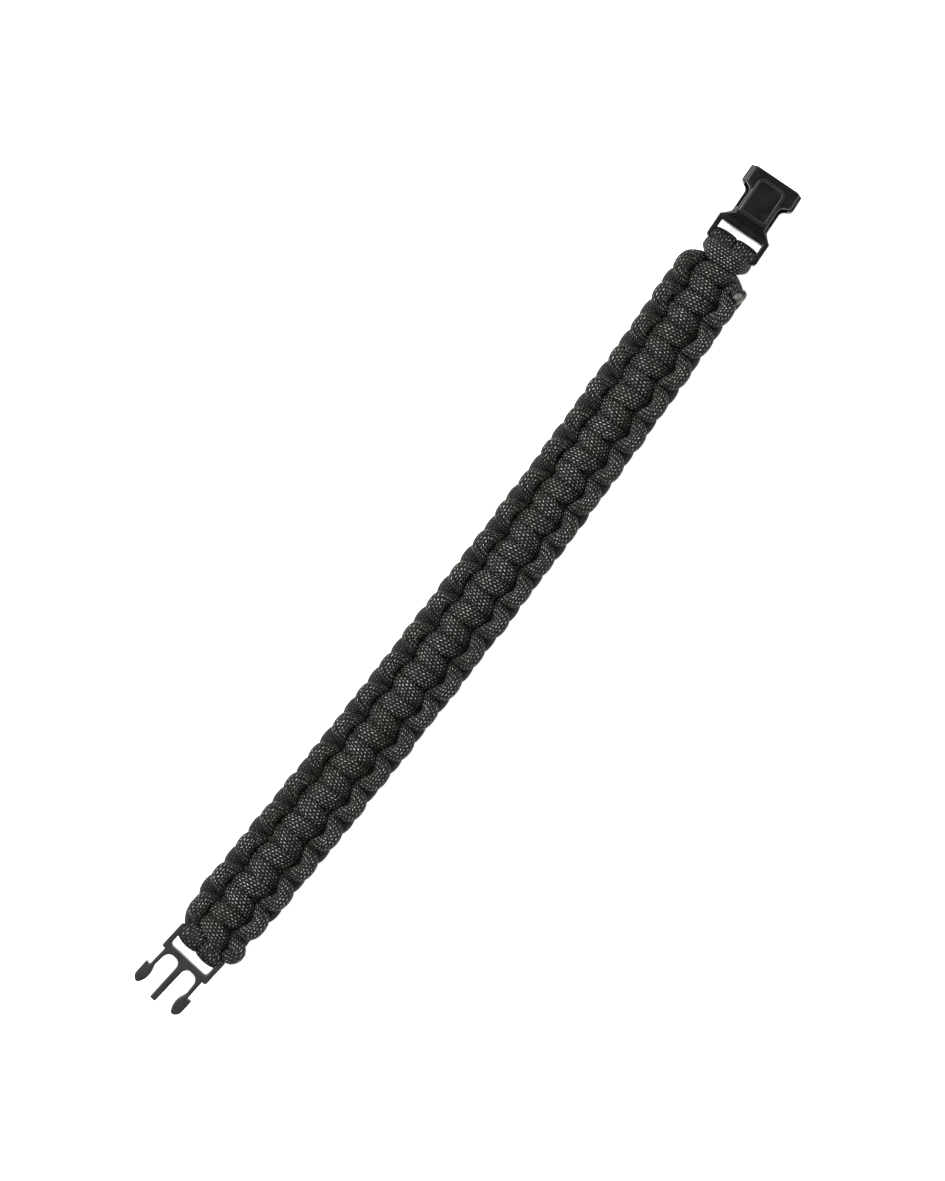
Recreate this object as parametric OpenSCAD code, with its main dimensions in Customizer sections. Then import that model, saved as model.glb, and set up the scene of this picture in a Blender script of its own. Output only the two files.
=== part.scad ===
// Bracelet of parachute cord in a cobra braid, lying open, with a side release buckle.
// One cord is doubled over the socket's bar, runs through the band as two core strands,
// wraps the plug's bar, and comes back as a front and a back strand, knotted round the core.
// +X runs from the plug half to the socket half, +Z is up from the surface it lies on,
// and the origin is on that surface, under the middle. Lengths are in millimetres.

/* [Band] */
// Number of front crossings in the braid
bars = 44; // [12:2:60]
// Distance from one front crossing to the next
pitch = 4.725; // [4.4:0.005:5.2]
// Diameter of the cord when it is loose
cord_d = 4; // [3.6:0.05:4.3]
// How far the middle of the band bows out of line
bow = 2.4; // [0.5:0.1:6]

/* [Buckle] */
// Clear width of each half's cord slot
slot_w = 11.7; // [10.5:0.1:14]
// Width of a leg beside the slot
leg_w = 1.45; // [1:0.05:2]
// Thickness of the slotted frames
frame_t = 3; // [2.4:0.1:3.4]
// Radius of the bar that the cord wraps
bar_r = 0.75; // [0.6:0.05:0.9]
// Clear gap between the wrapped cord and the slot's far side
slot_gap = 2.2; // [1:0.1:4]

/* [Plug half] */
// Width of the crossbar that carries the arms
cross_w = 1.6; // [1.2:0.1:2.4]
// Length of an arm from the crossbar to its nose
arm_l = 11.1; // [10.4:0.1:12.5]
// Width of an arm's springy stem
stem_w = 1; // [0.8:0.05:1.3]
// Length of the barb on an arm
barb_l = 5.8; // [5:0.1:6.2]
// Width of a barb across its leaf shape
barb_w = 3.25; // [2.8:0.05:3.6]
// How far a barb's hook stands out from its stem
hook = 1.2; // [0.8:0.05:1.5]
// Length of the middle prong
prong_l = 11.35; // [8:0.05:12.5]
// Width of the middle prong
prong_w = 1.65; // [1.2:0.05:2.2]
// Thickness of the arms and the prong
arm_t = 2.6; // [2:0.1:2.8]
// How far the plug half is turned out of the band's line, in degrees
plug_turn = 2.7; // [-4:0.1:4]

/* [Socket half] */
// Thickness of the socket's body
body_t = 5.6; // [5.2:0.1:7]
// Thickness of the body's walls
wall = 1.1; // [0.9:0.05:1.2]
// Length of the body past the slot
body_l = 15; // [14.4:0.1:17]
// Width of the body's waist
waist_w = 10.3; // [9.4:0.1:11]
// Length of the ears at the mouth
ear_l = 5.6; // [4.5:0.1:6]
// Width across the ears
ear_w = 15; // [14.6:0.1:16]
// Width of the raised plain panel
panel_w = 7.6; // [6:0.1:8.5]
// How far the panel stands up
panel_up = 0.3; // [0.2:0.05:0.5]
// How far the socket half is turned out of the band's line, in degrees
socket_turn = 0.2; // [-4:0.1:4]

/* [Hidden] */
$fn = 48;

gap = 0.05;             // between pieces that lie on each other
sides = 6;              // of a strand's section
full = 1.04;            // corners stand out this much, so that six sides hold a round section's area
flat = full / 2 * sin(60); // from a section's middle to its flat sides, as a share of its thickness
core_t = 0.8 * cord_d;  // a core strand is squeezed to this
wrap_t = 0.49 * cord_d; // the cord is pulled flat over a bar
wrap_from = 105;        // degrees, where the cord comes onto the front of a bar
wrap_step = 39;         // degrees from one section round a bar to the next
lobe_w = (slot_w / 2 - 2 * gap) / full;
lobe_y = slot_w / 4;
frame_w = slot_w + 2 * leg_w;
frame_end = bar_r + gap;
slot_far = bar_r + gap + wrap_t + slot_gap;
cross_far = slot_far + cross_w;
body_far = slot_far + body_l;
half_t = 1.235 * cord_d; // half of the band's thickness
last_bar = (bars - 1) * pitch / 2;
plug_bar = last_bar + 1.32 * cord_d;
socket_bar = last_bar + 1.84 * cord_d;
plug_reach = plug_bar + cross_far + prong_l;
socket_reach = socket_bar + body_far;
bow_r = last_bar * last_bar / (2 * bow);
shift = [(plug_reach - socket_reach) / 2, -bow / 2, half_t];

root = 1.3;             // foot of the fillets where the arms and the prong leave the crossbar
barb_past = 0.25;       // the barbs stand past the frame's sides
slide = 0.4;            // clearance of the prong between its guides
guide_t = 0.7;          // thickness of a guide
guide_from = 4;         // from the slot to the guides
back_wall = 4.2;        // from the slot to the end of the hollow
shoulder_l = 0.6;       // the body starts as wide as the frame for this length
taper_l = 2.3;          // and narrows to its waist in this one
swell_from = 0.9;       // from the slot to where the body swells out of the frame's thickness
swell_to = 3.2;         // and to where it is full
ear_rise = 0.7;         // length of an ear's slanted flank
ear_draft = 0.2;        // an ear narrows by this to the mouth
panel_from = 3.4;       // from the slot to the panel
panel_end = 1.7;        // from the panel to the mouth

// A working strand from the middle of an edge loop to the middle of the next crossing.
// along and wide are shares of the pitch, out, up and thick of the cord, lean is in degrees.
TURN = [
    // along, out, up, wide, thick, lean
    [0.00, 1.86, -0.78, 0.74, 0.96, 0],
    [0.46, 1.88, -0.65, 0.64, 0.90, 5],
    [0.72, 1.65, -0.22, 0.42, 0.66, 20],
    [0.73, 1.18, 0.30, 0.41, 0.58, 42],
    [0.59, 0.70, 0.75, 0.78, 0.70, 76],
    [0.50, 0.00, 0.80, 0.94, 0.74, 90]
];
// The flattened turn round a buckle bar, from the front over the outside to the back.
WRAP = [
    // out and wide as shares of a lobe's place and width, thick of the flat cord's thickness
    [1.00, 0.96, 1.00],
    [1.00, 1.00, 1.00],
    [1.00, 1.00, 1.00],
    [1.00, 1.00, 1.00],
    [1.03, 0.86, 1.08],
    [1.08, 0.62, 1.31]
];
// From the back of the plug's bar to the first edge loop, outwards from the bar, in cords.
// face gives the way the thickness faces: along, across and up.
FRONT_START = [
    // along, out, up, wide, thick, face
    [-0.27, 0.90, -0.58, 0.80, 0.66, [0, 0, -1]],
    [-0.43, 1.22, -0.70, 0.76, 0.70, [0, 0.1, -1]],
    [-0.55, 1.55, -0.78, 0.76, 0.76, [0, 0.5, -1]]
];
BACK_START = [
    // along, out, up, wide, thick, face
    [-0.27, 0.90, -0.58, 0.80, 0.64, [0, 0, -1]],
    [-0.44, 1.22, -0.64, 0.72, 0.64, [0, 0.2, -1]],
    [-0.54, 1.56, -0.46, 0.56, 0.66, [0, 1, -0.9]],
    [-0.55, 1.76, -0.08, 0.44, 0.76, [0, 1, -0.2]],
    [-0.54, 1.83, 0.36, 0.54, 0.82, [0, 1, 0.1]]
];
// The core strand where it leaves the band and climbs onto the plug's bar, and where it
// climbs onto the socket's bar, in cords, outwards from the bar.
CORE_RISE = [
    // along, out, up, wide, thick, face
    [-0.80, 0.42, 0.00, 0.84, 0.78, [0, 0, 1]],
    [-0.44, 0.62, 0.42, 1.18, 0.54, [-0.5, 0, 1]]
];
LOOP_RISE = [
    [-1.18, 0.40, 0.00, 0.80, 0.80, [0, 0, 1]],
    [-0.84, 0.48, 0.00, 0.84, 0.70, [0, 0, 1]],
    [-0.42, 0.64, 0.30, 1.10, 0.54, [-0.4, 0, 1]]
];
// From the back of the socket's bar, round the core's own sides and over their front, in cords.
LOOP_BACK = [
    // along, out, up, wide, thick, face
    [-0.52, 0.92, -0.60, 1.05, 0.54, [-0.2, 0.2, -1]],
    [-0.80, 1.22, -0.40, 0.90, 0.56, [0, 0.7, -0.8]],
    [-0.84, 1.40, 0.06, 0.86, 0.58, [0, 1, 0]],
    [-0.82, 1.24, 0.56, 0.88, 0.58, [0, 0.8, 0.6]],
    [-0.79, 0.72, 0.84, 0.98, 0.60, [0, 0.2, 1]]
];

// An unbent place on the band to its place in the bowed band. Near a buckle half the place
// is turned with it, about the middle of that half's bar.
function ease(t) = let (u = max(0, min(1, t))) u * u * (3 - 2 * u);
function turned(p) =
    let (
        far = p[0] < 0 ? plug_bar : socket_bar,
        mid = [p[0] < 0 ? -far : far, 0, 0],
        most = p[0] < 0 ? -plug_turn : socket_turn,
        a = most * ease((abs(p[0]) - last_bar) / (far - last_bar)),
        q = p - mid
    )
    mid + [q[0] * cos(a) - q[1] * sin(a), q[0] * sin(a) + q[1] * cos(a), q[2]];
function slope(x) = x / bow_r * 180 / PI;
function bowed(p) =
    [(bow_r - p[1]) * sin(slope(p[0])), bow_r - (bow_r - p[1]) * cos(slope(p[0])), p[2]] + shift;

// The cord is swept along stations of [place, width, thickness, the way its thickness faces].
function unit(v) = v / norm(v);
function heading(i) = unit(CORD[min(i + 1, len(CORD) - 1)][0] - CORD[max(i - 1, 0)][0]);
function ring(i, trim) =
    let (
        s = CORD[i],
        ahead = heading(i),
        v = unit(s[3] - (s[3] * ahead) * ahead),
        u = cross(v, ahead)
    )
    [for (k = [0 : sides - 1])
        let (a = 360 * k / sides)
        bowed(turned(s[0] + trim * ahead + full / 2 * (cos(a) * s[1] * u + sin(a) * s[2] * v)))];

// A stretch of the cord between two stations, trimmed by the gap where it meets the next.
module stretch(first, last) {
    n = last - first + 1;
    polyhedron(
        points = [for (i = [first : last])
            each ring(i, i == first && first > 0 ? gap : i == last && last < len(CORD) - 1 ? -gap : 0)],
        faces = [
            [for (k = [0 : sides - 1]) k],
            [for (k = [sides - 1 : -1 : 0]) (n - 1) * sides + k],
            for (i = [0 : n - 2])
                for (k = [0 : sides - 1])
                    let (a = i * sides + k, b = i * sides + (k + 1) % sides)
                    each [[a, a + sides, b + sides], [a, b + sides, b]]
        ]
    );
}

// Stations of one turn: ahead is false for the half before the edge loop's middle.
// face is 1 for the front strand and -1 for the back one, which is the front one turned over.
function turn_station(m, row, ahead, face) =
    let (side = (m % 2 == 0 ? -1 : 1) * face, x = -last_bar + (m + 0.5) * pitch)
    [
        [x + (ahead ? 1 : -1) * row[0] * pitch, side * row[1] * cord_d, face * row[2] * cord_d],
        row[3] * pitch,
        row[4] * cord_d,
        [0, side * cos(row[5]), face * sin(row[5])]
    ];
function before(m, face, to = 1) =
    [for (i = [len(TURN) - 2 : -1 : to]) turn_station(m, TURN[i], false, face)];
function after(m, face) = [for (row = TURN) turn_station(m, row, true, face)];
function braid(face) =
    [for (m = [0 : bars - 2]) each concat(before(m, face), after(m, face))];

// A row of an end table, outwards from a buckle bar at x = at, on the side given.
function end_station(row, at, out, side) =
    [
        [at + out * row[0] * cord_d, side * row[1] * cord_d, row[2] * cord_d],
        row[3] * cord_d,
        row[4] * cord_d,
        [out * row[5][0], side * row[5][1], row[5][2]]
    ];
function ends(rows, at, out, side) = [for (row = rows) end_station(row, at, out, side)];
function wrap(at, out, side) =
    [for (i = [0 : len(WRAP) - 1])
        let (
            row = WRAP[i],
            a = wrap_from - i * wrap_step,
            thick = row[2] * wrap_t,
            r = (bar_r + 2 * gap) / cos(wrap_step / 2) + flat * thick
        )
        [
            [at + out * r * cos(a), side * row[0] * lobe_y, r * sin(a)],
            row[1] * lobe_w,
            thick,
            [out * cos(a), 0, sin(a)]
        ]];
function reversed(list) = [for (i = [len(list) - 1 : -1 : 0]) list[i]];

FRONT_END = [last_bar + 0.10 * cord_d, 1.86 * cord_d, -0.64 * cord_d];
BACK_END = [last_bar - 0.42 * cord_d, -1.98 * cord_d, 0.44 * cord_d];
FRONT_PATH = concat(
    ends(FRONT_START, -plug_bar, -1, 1),
    after(-1, 1),
    braid(1),
    before(bars - 1, 1, 2),
    [[FRONT_END, 0.7 * pitch, 0.84 * cord_d, [0, 1, 0]]]
);
BACK_PATH = concat(
    ends(BACK_START, -plug_bar, -1, -1),
    after(-1, -1),
    braid(-1),
    before(bars - 1, -1, 2),
    [[BACK_END, 0.55 * pitch, 0.74 * cord_d, [0, -0.5, 1]]]
);
function core_run(side) =
    let (reach = last_bar - 0.2 * pitch)
    [for (i = [-4 : 4]) [[i / 4 * reach, side * core_t / 2, 0], core_t, core_t, [0, 0, 1]]];
function core_path(side) =
    concat(
        reversed(wrap(-plug_bar, -1, side)),
        reversed(ends(CORE_RISE, -plug_bar, -1, side)),
        core_run(side),
        ends(LOOP_RISE, socket_bar, 1, side),
        wrap(socket_bar, 1, side),
        ends(LOOP_BACK, socket_bar, 1, side)
    );
LOOP_MIDDLE = [[socket_bar - 0.78 * cord_d, 0, 0.88 * cord_d], cord_d, 0.6 * cord_d, [0, 0, 1]];
// The whole cord, from the back strand's tip to the front strand's.
CORD = concat(
    reversed(BACK_PATH),
    core_path(-1),
    [LOOP_MIDDLE],
    reversed(core_path(1)),
    FRONT_PATH
);
// The strands meet behind the plug's bar, at the second rows of the start tables.
BACK_MEET = len(BACK_PATH) - 2;
FRONT_MEET = len(CORD) - len(FRONT_PATH) + 1;

module front_strand() {
    color("#2e2e30") stretch(FRONT_MEET, len(CORD) - 1);
}

module back_strand() {
    color("#29292b") stretch(0, BACK_MEET);
}

module core_strand() {
    color("#323234") stretch(BACK_MEET, FRONT_MEET);
}

// A cut end of the cord, melted into a low button, past an end station of the cord.
module melted_tip(i, way, r, long) {
    foot = CORD[i][0];
    dome = 1.25 * r;
    d = unit(bowed(turned(foot + way * heading(i))) - bowed(turned(foot)));
    translate(bowed(turned(foot)) + 2 * gap * d)
        rotate([0, acos(d[2]), atan2(d[1], d[0])])
            rotate_extrude()
                intersection() {
                    translate([0, long - dome])
                        circle(dome);
                    square([r, long]);
                }
}

module front_strand_tip() {
    color("#3c3c3e") melted_tip(len(CORD) - 1, 1, 0.36 * cord_d, 0.3 * cord_d);
}

module back_strand_tip() {
    color("#3c3c3e") melted_tip(0, -1, 0.34 * cord_d, 0.3 * cord_d);
}

// An outline of [x, y, corner radius], with each corner made an arc of four chords.
function arc_corner(a, b, c, r) =
    let (
        to_a = unit([a[0] - b[0], a[1] - b[1]]),
        to_c = unit([c[0] - b[0], c[1] - b[1]]),
        half = acos(to_a * to_c) / 2,
        back = r / tan(half),
        centre = [b[0], b[1]] + unit(to_a + to_c) * r / sin(half),
        p = [b[0], b[1]] + back * to_a - centre,
        q = [b[0], b[1]] + back * to_c - centre,
        sweep = 180 - 2 * half
    )
    [for (k = [0 : 4])
        let (t = k / 4)
        centre + (sin((1 - t) * sweep) * p + sin(t * sweep) * q) / sin(sweep)];
function outline(rows) =
    [for (i = [0 : len(rows) - 1])
        let (
            a = rows[(i + len(rows) - 1) % len(rows)],
            b = rows[i],
            c = rows[(i + 1) % len(rows)]
        )
        each b[2] > 0 ? arc_corner(a, b, c, b[2]) : [[b[0], b[1]]]];

module slab(rows, t) {
    translate([0, 0, -t / 2])
        linear_extrude(t)
            polygon(outline(rows));
}

module both_sides() {
    children();
    mirror([0, 1, 0])
        children();
}

// A buckle half is drawn with its bar on the Y axis and its far end towards +X.
// Its outlines are lists of x, y and corner radius.
module at_bar(x, turn) {
    translate(bowed([x, 0, 0]))
        rotate(slope(x) + turn)
            children();
}

module buckle_bar() {
    translate([0, slot_w / 2 + leg_w / 2, 0])
        rotate([90, 0, 0])
            cylinder(r = bar_r, h = slot_w + leg_w);
}

module frame_legs(far) {
    both_sides()
        slab([
            [-frame_end, slot_w / 2, 0.3],
            [-frame_end, frame_w / 2, 0.5],
            [far, frame_w / 2, 0],
            [far, slot_w / 2, 0]
        ], frame_t);
}

module arm() {
    barb_out = frame_w / 2 + barb_past;
    stem_out = barb_out - hook;
    stem_in = stem_out - stem_w;
    barb_in = barb_out - barb_w;
    nose = cross_far + arm_l;
    heel = nose - barb_l;
    slab([
        [cross_far - cross_w / 2, stem_in - 1.5 * root, 0],
        [cross_far, stem_in - 1.5 * root, 0],
        [cross_far, stem_in, 1.3 * root],
        [heel, stem_in, 0.6],
        [heel + 0.3 * barb_l, barb_in, 1.6],
        [nose - 0.28 * barb_l, barb_in, 1.6],
        [nose, barb_in + 0.36 * barb_w, 0.7],
        [nose - 0.16 * barb_l, barb_out - 0.1 * barb_w, 1],
        [nose - 0.5 * barb_l, barb_out, 2],
        [heel, barb_out, 0.15],
        [heel + 0.2 * hook, stem_out, 0.1],
        [cross_far, stem_out - 0.1 * stem_w, 0],
        [cross_far - cross_w / 2, stem_out - 0.1 * stem_w, 0]
    ], arm_t);
}

module prong() {
    flare = prong_w / 2 + root;
    far = cross_far + prong_l;
    slab([
        [cross_far - cross_w / 2, -flare, 0],
        [cross_far, -flare, 0],
        [cross_far, -prong_w / 2, 0.8 * root],
        [far, -prong_w / 2, 0.2],
        [far, prong_w / 2, 0.2],
        [cross_far, prong_w / 2, 0.8 * root],
        [cross_far, flare, 0],
        [cross_far - cross_w / 2, flare, 0]
    ], arm_t);
}

module plug_half() {
    color("#3a3a3b")
        at_bar(-plug_bar, -plug_turn)
            mirror([1, 0, 0]) {
                buckle_bar();
                frame_legs(cross_far - cross_w / 2);
                slab([
                    [slot_far, -frame_w / 2, 0],
                    [cross_far, -frame_w / 2, 0.6],
                    [cross_far, frame_w / 2, 0.6],
                    [slot_far, frame_w / 2, 0]
                ], frame_t);
                both_sides()
                    arm();
                prong();
            }
}

// The socket's body seen from above, with its shoulders, waist and ears.
module body_outline() {
    shoulder = slot_far + shoulder_l;
    waist = shoulder + taper_l;
    ear = body_far - ear_l;
    both_sides()
        slab([
            [slot_far, 0, 0],
            [slot_far, frame_w / 2, 0],
            [shoulder, frame_w / 2, 0.9],
            [waist, waist_w / 2, 0.9],
            [ear, waist_w / 2, 1.1],
            [ear + ear_rise, ear_w / 2, 1.1],
            [body_far, ear_w / 2 - ear_draft, 0.4],
            [body_far, 0, 0]
        ], body_t);
}

// The body seen from the side: the slotted frame swells into the thicker body.
module body_side() {
    rotate([90, 0, 0])
        slab([
            [slot_far, frame_t / 2, 0],
            [slot_far + swell_from, frame_t / 2, 0],
            [slot_far + swell_to, body_t / 2, 1.5],
            [body_far, body_t / 2, 0.5],
            [body_far, -body_t / 2, 0.5],
            [slot_far + swell_to, -body_t / 2, 1.5],
            [slot_far + swell_from, -frame_t / 2, 0],
            [slot_far, -frame_t / 2, 0]
        ], ear_w + frame_w);
}

// The space for the plug: open at the mouth and, beside the waist, at both sides.
module body_cavity() {
    depth = body_l - back_wall;
    translate([body_far - depth, -(ear_w / 2 - wall), wall - body_t / 2])
        cube([depth + 1, ear_w - 2 * wall, body_t - 2 * wall]);
}

// Two guides that centre the plug's prong.
module prong_guides() {
    both_sides()
        translate([slot_far + guide_from, prong_w / 2 + slide, (wall - body_t) / 2])
            cube([body_l - guide_from - ear_l, guide_t, body_t - wall]);
}

module raised_panel() {
    translate([0, 0, body_t / 2 - wall / 2 + panel_up / 2])
        slab([
            [slot_far + panel_from, -panel_w / 2, 0.8],
            [body_far - panel_end, -panel_w / 2, 1.4],
            [body_far - panel_end, panel_w / 2, 1.4],
            [slot_far + panel_from, panel_w / 2, 0.8]
        ], wall + panel_up);
}

module socket_half() {
    color("#2b2b2c")
        at_bar(socket_bar, socket_turn) {
            buckle_bar();
            frame_legs(slot_far + shoulder_l / 3);
            difference() {
                intersection() {
                    body_outline();
                    body_side();
                }
                body_cavity();
            }
            prong_guides();
            raised_panel();
        }
}

front_strand();
back_strand();
core_strand();
front_strand_tip();
back_strand_tip();
plug_half();
socket_half();
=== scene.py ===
# Black paracord bracelet in a cobra braid, lying open with its side release buckle undone.
# The cords and the buckle halves are shaped again here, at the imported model's places and sizes.
# Lengths are in millimetres until a mesh is made, +X runs from the plug half to the socket half.

import math

import bmesh
import bpy
import numpy as np
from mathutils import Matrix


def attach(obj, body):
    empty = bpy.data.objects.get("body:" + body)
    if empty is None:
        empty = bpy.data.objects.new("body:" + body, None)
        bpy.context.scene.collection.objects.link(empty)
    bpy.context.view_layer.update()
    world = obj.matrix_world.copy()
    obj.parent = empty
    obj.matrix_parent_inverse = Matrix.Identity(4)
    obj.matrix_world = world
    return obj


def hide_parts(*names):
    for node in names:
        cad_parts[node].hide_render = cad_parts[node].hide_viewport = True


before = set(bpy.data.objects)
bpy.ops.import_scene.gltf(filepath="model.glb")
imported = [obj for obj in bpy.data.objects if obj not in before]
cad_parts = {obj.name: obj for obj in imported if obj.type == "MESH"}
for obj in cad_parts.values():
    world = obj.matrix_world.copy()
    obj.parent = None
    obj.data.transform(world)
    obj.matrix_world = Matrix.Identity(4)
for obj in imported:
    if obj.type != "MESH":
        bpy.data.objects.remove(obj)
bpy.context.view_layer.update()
print("frame loaded", sorted(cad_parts))

mm = 0.001


# Small helpers

def linear(hexColour):
    # sRGB hex to linear light: c / 12.92 below 0.04045, else ((c + 0.055) / 1.055) ^ 2.4
    c = np.array([int(hexColour[i:i + 2], 16) for i in (1, 3, 5)]) / 255
    c = np.where(c <= 0.04045, c / 12.92, ((c + 0.055) / 1.055) ** 2.4)
    return (*c, 1.0)


def unit(v):
    return v / np.linalg.norm(v, axis=-1, keepdims=True)


def addNode(tree, kind, settings=None, **inputs):
    # settings are properties; inputs go by socket name or number (i0, i1), a socket becomes a link
    node = tree.nodes.new(kind)
    for name, value in (settings or {}).items():
        setattr(node, name, value)
    for name, value in inputs.items():
        byNumber = name[0] == "i" and name[1:].isdigit()
        socket = node.inputs[int(name[1:]) if byNumber else name.replace("_", " ")]
        if isinstance(value, bpy.types.NodeSocket):
            tree.links.new(value, socket)
        else:
            socket.default_value = value
    return node


def mixed(tree, share, first, second):
    # each of the two colours is an sRGB hex or a socket
    first, second = (linear(c) if isinstance(c, str) else c for c in (first, second))
    return addNode(tree, "ShaderNodeMix", {"data_type": "RGBA"}, i0=share, i6=first, i7=second).outputs[2]


def remapped(tree, value, low, high, toLow=0.0, toHigh=1.0):
    # the range from low to high becomes the one from toLow to toHigh, and ends there
    node = addNode(tree, "ShaderNodeMapRange", Value=value, i1=low, i2=high, i3=toLow, i4=toHigh)
    return node.outputs[0]


def newMaterial(name):
    mat = bpy.data.materials.new(name)
    mat.use_nodes = True
    mat.node_tree.nodes.clear()
    return mat


def addSurface(tree, **inputs):
    skin = addNode(tree, "ShaderNodeBsdfPrincipled", **inputs)
    addNode(tree, "ShaderNodeOutputMaterial", Surface=skin.outputs[0])


def addObject(name, data):
    obj = bpy.data.objects.new(name, data)
    bpy.context.scene.collection.objects.link(obj)
    return obj


def looseMesh(name, verts, faces):
    me = bpy.data.meshes.new(name)
    me.from_pydata(verts.tolist(), [], [list(map(int, f)) for f in faces])
    return addObject(name, me)


def addPiece(name, verts, faces, material, uv=None):
    # verts in millimetres, uv one pair for each face corner
    obj = looseMesh(name, verts * mm, faces)
    me = obj.data
    if uv is not None:
        layer = me.uv_layers.new(name="sheath")
        layer.uv.foreach_set("vector", uv.astype(np.float32).ravel())
    me.materials.append(material)
    me.polygons.foreach_set("use_smooth", np.ones(len(me.polygons), bool))
    me.update()
    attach(obj, "root")
    return obj


def ringFaces(rings, around):
    # quads between neighbouring rings of points
    i, j = np.meshgrid(np.arange(rings - 1), np.arange(around), indexing="ij")
    a, b = (i * around + j).ravel(), (i * around + (j + 1) % around).ravel()
    return np.stack([a, b, b + around, a + around], 1)


def endFans(rings, around):
    # triangles that close both ends: the two middle points come after all the rings' points
    j = np.arange(around)
    far = (rings - 1) * around
    first = np.stack([(j + 1) % around, j, 0 * j + rings * around], 1)
    last = np.stack([far + j, far + (j + 1) % around, 0 * j + rings * around + 1], 1)
    return first, last


def closedTube(name, rings):
    # rings of points joined, with one flat face at either end
    k, n = rings.shape[:2]
    ends = [list(range(n))[::-1], list(range((k - 1) * n, k * n))]
    return looseMesh(name, rings.reshape(-1, 3), ringFaces(k, n).tolist() + ends)


# The cord's route

band = {
    "bars": 44,            # front crossings
    "pitch": 4.725,        # from one crossing to the next
    "cord": 4.0,           # thickness of the loose cord
    "bow": 2.4,            # height of the slight bend, from the first crossing to the last
    "slotWide": 11.7,      # the buckle's slot, which the wraps fill
    "barRadius": 0.75,
    "gap": 0.05,           # between neighbouring wraps, and between them and the bar
    "plugBar": 106.8675,   # from the middle to each buckle bar, along the unbent band
    "socketBar": 108.9475,
    "plugTurn": 2.7,       # degrees that each buckle half is turned by
    "socketTurn": 0.2,
    "shift": (-2.065, -1.2, 4.94),    # the band's middle from the origin
    "loop": (1.3, 1.9),    # a turn belongs to its edge loop by 1.3 - 1.9 * its pitches along, from 0 to 1
    "seed": 11,
    "pull": 0.04,          # each edge loop is drawn in or out by up to this, in cords
    "slide": 0.045,        # and moved along by up to this, in pitches
    "wrapStart": 105,      # degrees round a bar to the first station of a wrap, and between two of them
    "wrapStep": 39,
    "wrapThick": 0.49,     # of the cord pressed flat round a bar, in cords
    "wrapMiddle": 0.45,    # its middle line lies this much of its thickness out from the bar
    "lobeShare": 1.04,     # half the slot's width, without its gaps, is divided by this to get a wrap's
}
pitch, cord = band["pitch"], band["cord"]
lastBar = (band["bars"] - 1) * pitch / 2
bowRadius = lastBar ** 2 / (2 * band["bow"])

# a working strand from the middle of an edge loop to the middle of the next crossing
turnRows = np.array([
    # along and wide in pitches; out, up and thick in cords; lean in degrees
    [0.00, 1.91, -0.60, 0.80, 0.96, 0],
    [0.29, 1.85, -0.58, 0.78, 0.98, 6],
    [0.55, 1.63, -0.48, 0.70, 0.92, 22],
    [0.71, 1.32, -0.25, 0.72, 0.86, 40],
    [0.76, 1.01, 0.09, 0.80, 0.82, 50],
    [0.67, 0.66, 0.56, 0.92, 0.78, 66],
    [0.50, 0.00, 0.81, 0.98, 0.82, 90],
])
# the back strand's arches along the +Y edge are narrower, so dark pits lie open between them
archRows = np.vstack([[
    [0.00, 1.87, -0.60, 0.80, 1.06, 0],
    [0.26, 1.83, -0.58, 0.76, 1.04, 5],
    [0.45, 1.66, -0.50, 0.58, 0.94, 18],
    [0.60, 1.34, -0.25, 0.60, 0.86, 36],
    [0.71, 1.01, 0.10, 0.76, 0.82, 50]], turnRows[5:]])
# the front strand's loops on that edge are thicker and close the pits from behind
closingRows = np.vstack([[
    [0.00, 1.84, -0.60, 0.80, 1.12, 0],
    [0.29, 1.79, -0.58, 0.78, 1.12, 6],
    [0.55, 1.58, -0.48, 0.72, 1.00, 22]], turnRows[3:]])
# stations of a wrap: out in quarters of the slot, wide in lobes, thick of the flat cord
wrapRows = np.array([[0.96, 1.08, 1.00]] * 4 + [[0.98, 0.92, 1.06], [1.05, 0.68, 1.25]])
# the rest in cords, outwards from a buckle bar, with the way the thickness faces
frontStart = np.array([
    # along, out, up, wide, thick, face along, across, up
    [-0.27, 0.96, -0.59, 0.80, 0.66, 0, 0, -1],
    [-0.36, 1.28, -0.76, 0.74, 0.64, 0, 0.1, -1],
    [-0.57, 1.50, -0.78, 0.76, 0.70, 0, 0.5, -1],
    [-0.96, 1.67, -0.73, 0.78, 0.86, 0, 0.9, -0.5],
])
backStart = np.array([
    [-0.27, 0.90, -0.58, 0.80, 0.64, 0, 0, -1],
    [-0.42, 1.14, -0.62, 0.70, 0.62, 0, 0.2, -1],
    [-0.46, 1.38, -0.42, 0.54, 0.62, 0, 1, -0.9],
    [-0.47, 1.52, -0.04, 0.46, 0.70, 0, 1, -0.2],
    [-0.55, 1.61, 0.34, 0.60, 0.84, 0, 1, 0.1],
    [-0.84, 1.86, 0.56, 0.72, 0.92, 0, 1, 0.1],
])
coreRise = np.array([
    [-0.80, 0.42, 0.00, 0.84, 0.78, 0, 0, 1],
    [-0.44, 0.53, 0.42, 1.26, 0.54, -0.5, 0, 1],
])
loopRise = np.array([
    [-1.18, 0.40, 0.00, 0.80, 0.80, 0, 0, 1],
    [-0.84, 0.48, 0.00, 0.84, 0.70, 0, 0, 1],
    [-0.42, 0.57, 0.30, 1.14, 0.54, -0.4, 0, 1],
])
loopBack = np.array([
    [-0.52, 0.92, -0.60, 1.05, 0.54, -0.2, 0.2, -1],
    [-0.56, 1.18, -0.40, 0.80, 0.56, 0, 0.7, -0.8],
    [-0.54, 1.37, 0.04, 0.70, 0.56, 0, 1, 0],
    [-0.68, 1.15, 0.54, 0.94, 0.58, -0.1, 0.8, 0.7],
    [-0.82, 0.66, 0.84, 1.18, 0.62, 0, 0.2, 1],
])

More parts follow.
